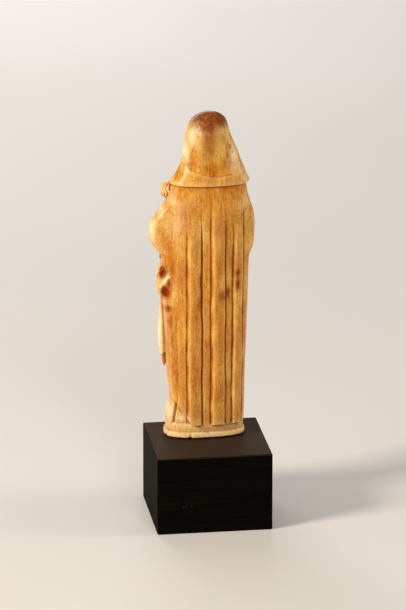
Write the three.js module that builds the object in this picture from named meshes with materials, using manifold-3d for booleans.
// A Virgin and Child carved in the round from one piece of ivory, on an ebonised wooden block.
// Millimetres, +Z up. The figure faces -Y, so its own left side is +X and the pleated back faces +Y.
// The origin is the middle of the block's underside. Heights inside the figure count from its terrace's rim.

import * as THREE from "three";
import { LoftGeometry } from "three/addons/geometries/LoftGeometry.js";
import { mergeVertices } from "three/addons/utils/BufferGeometryUtils.js";
import Module from "manifold-3d";

const wasm = await Module();
wasm.setup();

// Driving sizes of the block and of where the figure stands on it.
const BLOCK_WIDTH = 47;
const BLOCK_DEPTH = 45.5;
const BLOCK_HEIGHT = 32.5;
const BLOCK_EDGE = 0.5;
const FIGURE_SETBACK = 6.5;
const RIM_CLEARANCE = 0.85;
const PAD_CLEARANCE = 0.3;
const PAD_INSET = 2.6;

// The figure's main heights.
const HEM_HEIGHT = 5.3;
const VEIL_HEM = 106.6;

// Outlines: height, reach to the left (+X), right (-X), back (+Y) and front (-Y).
const TERRACE = [
  [0, 16.7, 15.9, 8.4, 11.8],
  [1.7, 16.7, 15.9, 8.4, 11.8],
  [2.1, 16.3, 15.5, 8.0, 11.3],
  [HEM_HEIGHT + 0.6, 16.0, 15.2, 7.3, 10.9],
];
const MANTLE = [
  [HEM_HEIGHT, 15.9, 15.8, 7.8, 10.6],
  [16, 15.4, 16.0, 7.9, 10.2],
  [22, 15.6, 16.1, 8.0, 10.0],
  [35, 16.1, 16.5, 8.1, 9.9],
  [52, 17.0, 17.1, 8.2, 10.2],
  [66, 18.2, 17.5, 8.3, 10.5],
  [75.5, 17.8, 17.8, 8.3, 10.4],
  [78.5, 20.0, 19.1, 8.4, 10.2],
  [83, 22.1, 19.8, 8.5, 10.0],
  [88.3, 22.8, 20.2, 8.5, 9.6],
  [92.5, 20.4, 19.8, 8.5, 9.0],
  [97, 17.0, 18.6, 8.4, 8.3],
  [102, 14.2, 17.2, 8.2, 7.3],
  [108.5, 12.2, 16.2, 7.6, 5.6],
];
const DRESS = [
  [HEM_HEIGHT - 1.5, 16.3, 14.8, 7.0, 10.7],
  [9, 15.6, 14.7, 6.9, 10.1],
  [15.5, 14.0, 14.8, 6.8, 9.4],
  [35, 14.8, 15.2, 6.9, 8.8],
  [75, 16.2, 16.2, 7.0, 8.8],
  [88, 16.0, 16.6, 7.1, 8.3],
  [97, 14.2, 15.6, 7.0, 7.9],
  [104, 11.6, 13.8, 6.6, 6.2],
  [108.5, 7.6, 9.6, 5.4, 4.2],
];
// The veil's last figure is half the width of its opening round the face.
const VEIL = [
  [VEIL_HEM, 14.3, 17.9, 8.9, 7.1, 8.4],
  [107.6, 13.9, 17.7, 9.0, 7.4, 8.2],
  [109.3, 12.7, 17.0, 8.7, 8.0, 7.9],
  [111.5, 11.3, 16.1, 8.2, 8.6, 7.5],
  [115, 9.7, 14.6, 8.0, 9.4, 7.1],
  [119, 8.9, 13.2, 7.9, 10.0, 6.8],
  [123, 8.4, 11.6, 7.7, 10.5, 6.6],
  [127, 7.7, 10.0, 7.2, 10.5, 5.5],
  [130, 6.7, 9.2, 6.2, 9.6, 3.5],
  [132.4, 5.3, 8.3, 4.8, 7.4, 0.8],
  [134, 3.3, 6.7, 3.2, 4.9, 0.5],
  [135, 0.6, 4.0, 1.2, 2.4, 0.4],
];
const VEIL_FULLNESS = 0.8;

// Grooves between the mantle's back pleats, from the left: place across, height where each dies
// away, and how far the pleat to its right stands up.
const GROOVES = [
  [12.3, 58, 0.35],
  [8.5, 88, 0.8],
  [2.4, 97, 0.25],
  [-1.35, 94, 0.8],
  [-7.2, 92, 0.2],
  [-9.8, 97, 0.65],
  [-15.1, 95, 0],
];
const GROOVE_DEPTH = 0.75;
const GROOVE_WIDTH = 0.55;
const PLEAT_FADE = 18;
const HALF_BACK = 16.5;

// The mantle's lower edge on the back: it lifts at the left and shows the dress.
const HEM_LIFT_FROM = 6.3;
const HEM_LIFT_TO = 14;
const HEM_LIFT_TOP = 16.5;
const SIDE_EDGE_FOOT = 22;
const SIDE_EDGE_RISE = 34;
const SIDE_SLIT_TURN = 0.27;
const SIDE_SLIT_TOP = 73;

// The apron across the front: hem heights at the right and left, and its hanging folds, each a bend
// with a slope to either side of its lowest point and its own width above and below its crest.
const APRON_TOP = 79;
const APRON_HEM_RIGHT = 11;
const APRON_HEM_LEFT = 42;
const APRON_FOLDS = 5;
const APRON_FOLD_RISE = 1.25;
const APRON_FOLD_LOWEST = [68, 30];
const APRON_FOLD_MIDDLE = [-1, 3];
const APRON_SLOPE_RIGHT = 0.75;
const APRON_SLOPE_LEFT = 1.35;
const APRON_BEND = 2;
const APRON_WIDTH_ABOVE = 1.9;
const APRON_WIDTH_BELOW = 1.1;
const APRON_REACH = 13;

// The dress: pitch and height of its upright folds, and its girdle.
const DRESS_FOLD_PITCH = 4.6;
const DRESS_FOLD_RISE = 0.9;
const GIRDLE_HEIGHT = 89;
const GIRDLE_WIDTH = 1.6;
const GIRDLE_DEPTH = 0.6;

// Section shapes: how square the body is behind and in front and the terrace all round, from what
// share of the half back its columns are stretched to the outline, the narrowest share they keep,
// and how soon relief reaches its full height beside an edge.
const BACK_POWER = 2.6;
const FRONT_POWER = 2.2;
const TERRACE_SQUARENESS = 0.8;
const STRETCH_FROM = 0.85;
const NARROWEST = 0.93;
const BACK_RELIEF_GAIN = 2;
const FRONT_RELIEF_GAIN = 1.6;

// How finely the surfaces are cut.
const PLEAT_STEPS = [0, 0.2, 0.5, 0.8];
const EDGE_STEPS = [0.88, 0.95, 0.985, 1];
const FRONT_COLUMNS = 30;
const MANTLE_ROWS = 23;
const DRESS_ROWS = 17;
const VEIL_COLUMNS = 30;
const OPENING_COLUMNS = 8;
const SLIVER = 0.03;

const COLOURS = { ivory: 0xd7964f, ebonised: 0x1b1512 };

const { clamp, lerp, smoothstep } = THREE.MathUtils;
const point = (x, y, z) => new THREE.Vector3(x, y, z);

// The row of an outline table at any height: a monotone cubic through its rows.
function through(rows, height) {
  const last = rows.length - 1;
  const z = clamp(height, rows[0][0], rows[last][0]);
  let i = 0;
  while (i < last - 1 && z > rows[i + 1][0]) i += 1;
  const span = rows[i + 1][0] - rows[i][0];
  const t = (z - rows[i][0]) / span;
  const rate = (k, c) => (rows[k + 1][c] - rows[k][c]) / (rows[k + 1][0] - rows[k][0]);
  const slope = (k, c) => {
    const before = rate(Math.max(k - 1, 0), c);
    const after = rate(Math.min(k, last - 1), c);
    return before * after <= 0 ? 0 : (2 * before * after) / (before + after);
  };
  return rows[i].map((value, c) => {
    const rise = rows[i + 1][c] - value;
    const start = slope(i, c) * span;
    const end = slope(i + 1, c) * span;
    return value + t * (start + t * (3 * rise - 2 * start - end + t * (start + end - 2 * rise)));
  });
}

// Columns of the body's surface, from the left edge round the back to the right edge and back
// along the front. A back column keeps its place across the figure, so that pleats hang straight.
function bodyColumns() {
  const back = EDGE_STEPS.map((q) => ({ across: q * HALF_BACK })).reverse();
  GROOVES.forEach(([across], i) => {
    const next = GROOVES[i + 1];
    if (!next) back.push({ across });
    else PLEAT_STEPS.forEach((t) => back.push({ across: lerp(across, next[0], t) }));
  });
  EDGE_STEPS.slice(1).forEach((q) => back.push({ across: -q * HALF_BACK }));
  const front = [];
  for (let i = 1; i < FRONT_COLUMNS; i += 1) front.push({ turn: (i / FRONT_COLUMNS) * Math.PI });
  return [...back, ...front];
}

// The point of a column at a height, pushed out by the relief there.
function onBody(rows, column, height, relief) {
  const [, left, right, back, front] = through(rows, height);
  if (column.turn === undefined) {
    const q = column.across / HALF_BACK;
    const side = q > 0 ? left : -right;
    const spread = smoothstep(Math.abs(q), STRETCH_FROM, 1);
    const shrink = Math.min(1, Math.abs(side) / (NARROWEST * HALF_BACK));
    const x = column.across * shrink + (side - Math.sign(q) * HALF_BACK * shrink) * spread;
    const rise = (1 - Math.abs(q) ** BACK_POWER) ** (1 / BACK_POWER);
    const push = relief(column.across, height, true);
    return point(x, back * rise + push * Math.min(1, rise * BACK_RELIEF_GAIN), height);
  }
  const cosine = -Math.cos(column.turn);
  const sine = Math.sin(column.turn);
  const q = Math.sign(cosine) * Math.abs(cosine) ** (2 / FRONT_POWER);
  const x = (left - right) / 2 + (q * (left + right)) / 2;
  const push = relief(x, height, false) * Math.min(1, sine * FRONT_RELIEF_GAIN);
  return point(x, -front * sine ** (2 / FRONT_POWER) - push, height);
}

// Pleats of the mantle's back: each is a rounded ridge between two narrow grooves.
function backPleats(across, height) {
  let relief = 0;
  GROOVES.forEach(([place, top, rise], i) => {
    const strength = smoothstep(top - height, 0, PLEAT_FADE);
    relief -= GROOVE_DEPTH * strength * Math.exp(-(((across - place) / GROOVE_WIDTH) ** 2));
    const next = GROOVES[i + 1];
    if (next && across <= place && across > next[0]) {
      const t = (2 * (across - next[0])) / (place - next[0]) - 1;
      relief += rise * strength * (1 - t ** 4);
    }
  });
  return relief;
}

// Height of the apron's hem across the front.
function apronHem(x) {
  const t = clamp((x + 16) / 32, 0, 1);
  return lerp(APRON_HEM_RIGHT, APRON_HEM_LEFT, t * t * 0.6 + t * 0.4) + Math.sin(x / 2.6);
}

// Folds that hang across the apron like slack loops from the right hip to the left arm.
function apronFolds(x, height) {
  let relief = 0;
  for (let i = 0; i < APRON_FOLDS; i += 1) {
    const t = i / (APRON_FOLDS - 1);
    const away = x - lerp(...APRON_FOLD_MIDDLE, t);
    const slope = away < 0 ? APRON_SLOPE_RIGHT : APRON_SLOPE_LEFT;
    const crest = lerp(...APRON_FOLD_LOWEST, t) + slope * (Math.hypot(away, APRON_BEND) - APRON_BEND);
    const gap = height - crest;
    const width = gap > 0 ? APRON_WIDTH_ABOVE : APRON_WIDTH_BELOW;
    const fade = Math.exp(-((away / APRON_REACH) ** 4));
    relief += APRON_FOLD_RISE * fade * Math.exp(-((gap / width) ** 2));
  }
  return relief;
}

const mantleRelief = (across, height, isBack) =>
  isBack ? backPleats(across, height) : apronFolds(across, height);

// Upright folds of the dress below the apron, and a girdle with gathers above.
function dressRelief(across, height, isBack) {
  const folds = Math.cos((2 * Math.PI * across) / DRESS_FOLD_PITCH);
  if (isBack) return height < 20 ? 0.5 * Math.cos((Math.PI * (across - 13.2)) / 5) : 0;
  const skirt = DRESS_FOLD_RISE * folds * smoothstep(60 - height, 0, 15);
  const girdle = -GIRDLE_DEPTH * Math.exp(-(((height - GIRDLE_HEIGHT) / GIRDLE_WIDTH) ** 2));
  return skirt + girdle + 0.25 * folds * smoothstep(height, 84, 92);
}

// Height of the mantle's lower edge at a column: level behind, lifted at the left corner, rising
// round the left side to a slit under the cascade, and in front the apron's hem.
function mantleFoot(column) {
  if (column.turn === undefined) {
    const across = column.across;
    const side = (SIDE_EDGE_FOOT - HEM_LIFT_TOP) * smoothstep(across, HEM_LIFT_TO, HALF_BACK);
    const lift = clamp((across - HEM_LIFT_FROM) / (HEM_LIFT_TO - HEM_LIFT_FROM), 0, 1);
    return lerp(HEM_HEIGHT, HEM_LIFT_TOP, lift) + side;
  }
  const fromLeft = Math.PI - column.turn;
  if (fromLeft < SIDE_SLIT_TURN) return SIDE_EDGE_FOOT + SIDE_EDGE_RISE * fromLeft;
  const x = -Math.cos(column.turn) * 16;
  if (x > 14.5) return SIDE_SLIT_TOP;
  return lerp(HEM_HEIGHT, apronHem(x), smoothstep(x, -16.5, -13));
}

// Height of the mantle's upper edge: the shoulders, and the apron's top where the chest is open.
function mantleHead(column) {
  const top = MANTLE[MANTLE.length - 1][0];
  if (column.turn === undefined) return top;
  const x = -Math.cos(column.turn) * 16;
  return lerp(APRON_TOP, top, smoothstep(Math.abs(x + 0.5), 8.6, 9.8));
}

// Stands rings of points on each other, with both ends closed.
const loft = (rings) => new LoftGeometry(rings, { capStart: true, capEnd: true });

// A ring drawn in towards the figure's axis, so that a layer's edge runs into what it covers.
const drawnIn = (ring, share) => ring.map((p) => point(p.x * share, p.y * share, p.z));

function mantle() {
  const columns = bodyColumns();
  const rings = [];
  for (let row = 0; row <= MANTLE_ROWS; row += 1) {
    rings.push(
      columns.map((column) => {
        const height = lerp(mantleFoot(column), mantleHead(column), row / MANTLE_ROWS);
        return onBody(MANTLE, column, height, mantleRelief);
      }),
    );
  }
  return loft([drawnIn(rings[0], 0.5), ...rings, drawnIn(rings[MANTLE_ROWS], 0.5)]);
}

function dress() {
  const columns = bodyColumns().filter((column, i) => column.turn !== undefined || i % 2 === 0);
  const [foot, head] = [DRESS[0][0], DRESS[DRESS.length - 1][0]];
  const rings = [];
  for (let row = 0; row <= DRESS_ROWS; row += 1) {
    const height = lerp(foot, head, row / DRESS_ROWS);
    rings.push(columns.map((column) => onBody(DRESS, column, height, dressRelief)));
  }
  return loft(rings);
}

// The low terrace: an oval slab with a lip, and a foot pad set in from its rim.
function terrace() {
  const ringAt = (height, inset) => {
    const [, left, right, back, front] = through(TERRACE, Math.max(height, 0));
    const ring = [];
    for (let i = 0; i < VEIL_COLUMNS; i += 1) {
      const turn = (i / VEIL_COLUMNS) * 2 * Math.PI;
      const c = Math.cos(turn);
      const s = Math.sin(turn);
      const half = (left + right) / 2 - inset;
      const across = (left - right) / 2 + half * Math.sign(c) * Math.abs(c) ** TERRACE_SQUARENESS;
      const deep = ((s > 0 ? back : front) - inset) * Math.sign(s) * Math.abs(s) ** TERRACE_SQUARENESS;
      ring.push(point(across, deep, height));
    }
    return ring;
  };
  const pad = PAD_CLEARANCE - RIM_CLEARANCE;
  return loft([
    ringAt(pad, PAD_INSET),
    ringAt(0, PAD_INSET),
    ringAt(0.01, 0),
    ...TERRACE.slice(1).map(([height]) => ringAt(height, 0)),
  ]);
}

// The veil: a bell round the back and sides, with an arched opening in front for the face.
function veil() {
  const rings = VEIL.map(([height, left, right, back, front, opening]) => {
    const middle = (left - right) / 2;
    const half = (left + right) / 2;
    const rim = Math.min(opening / half, 0.9);
    const from = Math.asin(rim);
    const ring = [];
    for (let i = 0; i <= VEIL_COLUMNS; i += 1) {
      const turn = -Math.PI / 2 + from + (i / VEIL_COLUMNS) * 2 * (Math.PI - from);
      const [c, s] = [Math.cos(turn), Math.sin(turn)];
      const fuller = s > 0 ? VEIL_FULLNESS : 1;
      const across = middle + half * Math.sign(c) * Math.abs(c) ** fuller;
      const deep = (s > 0 ? back : front) * Math.sign(s) * Math.abs(s) ** fuller;
      ring.push(point(across, deep, height));
    }
    const inner = Math.min(opening * 0.86, opening - 0.1);
    const depth = Math.min(front * 0.8, opening * 1.2);
    for (let i = 0; i <= OPENING_COLUMNS; i += 1) {
      const t = (2 * i) / OPENING_COLUMNS - 1;
      const hollow = -front * Math.cos(from) + depth * (1 - 0.3 * t * t);
      ring.push(point(middle + t * inner, hollow, height));
    }
    return ring;
  });
  return loft(rings);
}

// A limb, lock or fold: an oval carried along a smooth path, rounded shut at both ends.
// Each stop is [x, y, z, radius], and flat squeezes the oval front to back.
function limb(stops, { around = 8, along = 6, flat = 1 } = {}) {
  const path = new THREE.CatmullRomCurve3(stops.map(([x, y, z]) => point(x, y, z)));
  const rings = [];
  for (let i = 0; i <= along; i += 1) {
    const t = i / along;
    const seat = t * (stops.length - 1);
    const k = Math.min(Math.floor(seat), stops.length - 2);
    const radius = lerp(stops[k][3], stops[k + 1][3], seat - k);
    const closing = i === 0 || i === along ? 0.35 : 1;
    const middle = path.getPoint(t);
    const ahead = path.getTangent(t);
    const side = point(0, 1, 0).cross(ahead);
    if (side.length() < 0.2) side.set(1, 0, 0);
    side.normalize();
    const up = ahead.clone().cross(side).normalize();
    const ring = [];
    for (let j = 0; j < around; j += 1) {
      const turn = (j / around) * 2 * Math.PI;
      const out = side.clone().multiplyScalar(Math.cos(turn));
      out.addScaledVector(up, Math.sin(turn) * flat);
      ring.push(middle.clone().addScaledVector(out, radius * closing));
    }
    rings.push(ring);
  }
  return loft(rings);
}

// A ball stretched to three radii, turned by angles in degrees and set in place.
function ball([x, y, z], [rx, ry, rz], [tx, ty, tz] = [0, 0, 0], around = 12, up = 8, shape = null) {
  const geometry = new THREE.SphereGeometry(1, around, up).rotateX(Math.PI / 2);
  if (shape) {
    const place = geometry.getAttribute("position");
    for (let i = 0; i < place.count; i += 1) {
      const p = point().fromBufferAttribute(place, i);
      p.multiplyScalar(1 + shape(p));
      place.setXYZ(i, p.x, p.y, p.z);
    }
  }
  const turn = new THREE.Euler(...[tx, ty, tz].map(THREE.MathUtils.degToRad));
  const scale = point(rx, ry, rz);
  const matrix = new THREE.Matrix4();
  matrix.compose(point(x, y, z), new THREE.Quaternion().setFromEuler(turn), scale);
  return geometry.applyMatrix4(matrix);
}

// A plain face on the front of a head: nose, eye hollows, brow and chin, as shares of its radius.
function plainFace(p) {
  const facing = smoothstep(-p.y, 0, 0.4);
  const bump = (x, z, wide, high) =>
    facing * Math.exp(-(((p.x - x) / wide) ** 2) - ((p.z - z) / high) ** 2);
  const eyes = bump(-0.36, 0.06, 0.22, 0.14) + bump(0.36, 0.06, 0.22, 0.14);
  return 0.14 * bump(0, -0.2, 0.12, 0.22) + 0.07 * bump(0, -0.8, 0.26, 0.16) - 0.07 * eyes;
}

// The Virgin's head and neck, turned a little towards the Child, with a lock of hair each side.
function virginHead() {
  return [
    ball([-1.4, -3.4, 120.8], [5.9, 7.2, 9.6], [4, 5, -8], 18, 14, plainFace),
    limb([[-1.6, -1.5, 103, 3.6], [-1.5, -2.4, 114, 3.2]], { along: 3 }),
    limb([[-3.6, -9.0, 128.4, 1.2], [-6.9, -7.6, 121, 1.5], [-7.6, -6.4, 111, 1.3]]),
    limb([[0.8, -9.0, 128.4, 1.2], [4.1, -7.6, 121, 1.5], [4.8, -6.4, 111, 1.3]]),
  ];
}

// The arms: both bent at the elbow, the right holding a small ball, the left bearing the Child.
function arms() {
  return [
    limb([[-17, -2, 85, 4.4], [-12, -8, 84.5, 3.9], [-6.2, -11, 83.5, 2.5]], { around: 10 }),
    ball([-4.2, -12.0, 84.6], [2.6, 1.6, 2.2], [0, 0, 0], 10, 6),
    ball([-1.8, -12.2, 87.9], [2.1, 2.1, 2.1], [0, 0, 0], 8, 6),
    limb([[18.5, -1, 84, 5.0], [15.5, -7, 82, 4.4], [10, -10, 80.8, 3.4]], { around: 10 }),
    ball([7.6, -12, 81.2], [3.0, 1.5, 1.8], [0, -8, 0], 10, 6),
  ];
}

// The Child, seated on the left arm in a long tunic, turned to his mother.
function child() {
  return [
    limb([[11.2, -8.3, 79.2, 4.2], [11.3, -9, 88, 4.7], [11.9, -8.4, 95.6, 2.9]], { around: 12 }),
    limb([[12.4, -8.2, 94, 2.0], [13.4, -8.2, 98.6, 1.8]], { along: 3 }),
    ball([13.6, -8.4, 100.9], [3.5, 3.7, 3.9], [0, 0, -32], 12, 10, plainFace),
    limb([[10.6, -10.4, 84.5, 3.1], [7.6, -12.2, 83.4, 2.9], [6.5, -12, 74.4, 2.5]]),
    limb([[9.4, -9.6, 94.5, 2.0], [6.6, -11.1, 92.8, 1.7], [3.6, -10.9, 94.8, 1.1], [2.7, -10.9, 97.4, 0.9]]),
    limb([[15, -8.5, 95.4, 1.9], [16.6, -9.6, 90.6, 1.7], [12.6, -12.6, 90.2, 1.3]]),
    ball([6.3, -13.2, 74.4], [2.3, 2.6, 1.6], [0, 0, 0], 10, 6),
  ];
}

// The cloth that falls from the left arm: pleats round the left side, each with a hem of its own.
function cascade() {
  return [
    limb([[17, -0.8, 79, 2.3], [17.4, -0.4, 67, 2.1], [16.8, -0.4, 57, 1.5]], { flat: 1.3 }),
    limb([[16.4, -3.4, 80, 2.1], [16.4, -3.3, 53, 1.8], [17.2, -3.2, 39, 1.9], [16.0, -3.3, 29, 1.0]]),
    limb([[15, -6.2, 78, 2.0], [15.2, -6.1, 55, 2.0], [15.3, -5.9, 39, 1.4]]),
    limb([[12.8, -8.3, 76, 2.0], [13.0, -8.3, 60, 2.0], [13.0, -8.1, 47, 1.4]]),
    limb([[10.2, -9.6, 75, 2.0], [10.3, -9.7, 64, 1.9], [10.4, -9.4, 55, 1.3]]),
  ];
}

// Toes of two shoes under the dress.
const shoes = () =>
  [-5, 4.6].map((x) => ball([x, -9.6, 6.0], [2.2, 2.6, 1.7], [0, 0, 0], 10, 6));

// A closed mesh as a solid, its repeated points joined and its flattened triangles dropped.
function solid(geometry) {
  const bare = geometry.index ? geometry.toNonIndexed() : geometry.clone();
  bare.deleteAttribute("normal");
  bare.deleteAttribute("uv");
  const merged = mergeVertices(bare, 1e-4);
  const corners = merged.index.array;
  const kept = [];
  for (let i = 0; i < corners.length; i += 3) {
    const [a, b, c] = corners.slice(i, i + 3);
    if (a !== b && b !== c && c !== a) kept.push(a, b, c);
  }
  const vertProperties = new Float32Array(merged.getAttribute("position").array);
  const make = (triVerts) => {
    const mesh = new wasm.Mesh({ numProp: 3, vertProperties, triVerts: new Uint32Array(triVerts) });
    mesh.merge();
    return new wasm.Manifold(mesh);
  };
  const made = make(kept);
  return made.volume() > 0 ? made : make(kept.reverse());
}

// A solid's faces as geometry for a mesh.
function geometryOf(shape) {
  const mesh = shape.getMesh();
  const geometry = new THREE.BufferGeometry();
  geometry.setAttribute("position", new THREE.BufferAttribute(mesh.vertProperties, 3));
  geometry.setIndex(new THREE.BufferAttribute(mesh.triVerts, 1));
  geometry.computeVertexNormals();
  return geometry;
}

function part(name, geometry, colour, roughness) {
  const material = new THREE.MeshStandardMaterial({ color: colour, roughness, metalness: 0 });
  const mesh = new THREE.Mesh(geometry, material);
  mesh.name = name;
  return mesh;
}

function ivoryFigure() {
  const pieces = [
    terrace(),
    dress(),
    mantle(),
    veil(),
    ...virginHead(),
    ...arms(),
    ...child(),
    ...cascade(),
    ...shoes(),
  ];
  const carved = pieces.map(solid).reduce((whole, piece) => whole.add(piece)).simplify(SLIVER);
  const mesh = part("ivory_figure", geometryOf(carved), COLOURS.ivory, 0.4);
  mesh.position.set(0, -FIGURE_SETBACK, BLOCK_HEIGHT + RIM_CLEARANCE);
  return mesh;
}

function block() {
  const half = { x: BLOCK_WIDTH / 2 - BLOCK_EDGE, y: BLOCK_DEPTH / 2 - BLOCK_EDGE };
  const outline = new THREE.Shape([
    new THREE.Vector2(-half.x, -half.y),
    new THREE.Vector2(half.x, -half.y),
    new THREE.Vector2(half.x, half.y),
    new THREE.Vector2(-half.x, half.y),
  ]);
  const geometry = new THREE.ExtrudeGeometry(outline, {
    depth: BLOCK_HEIGHT - 2 * BLOCK_EDGE,
    bevelThickness: BLOCK_EDGE,
    bevelSize: BLOCK_EDGE,
    bevelSegments: 2,
  });
  geometry.translate(0, 0, BLOCK_EDGE);
  return part("wooden_block", geometry, COLOURS.ebonised, 0.45);
}

const statuette = new THREE.Group();
statuette.name = "virgin_and_child_statuette";
statuette.add(block(), ivoryFigure());

export default statuette;
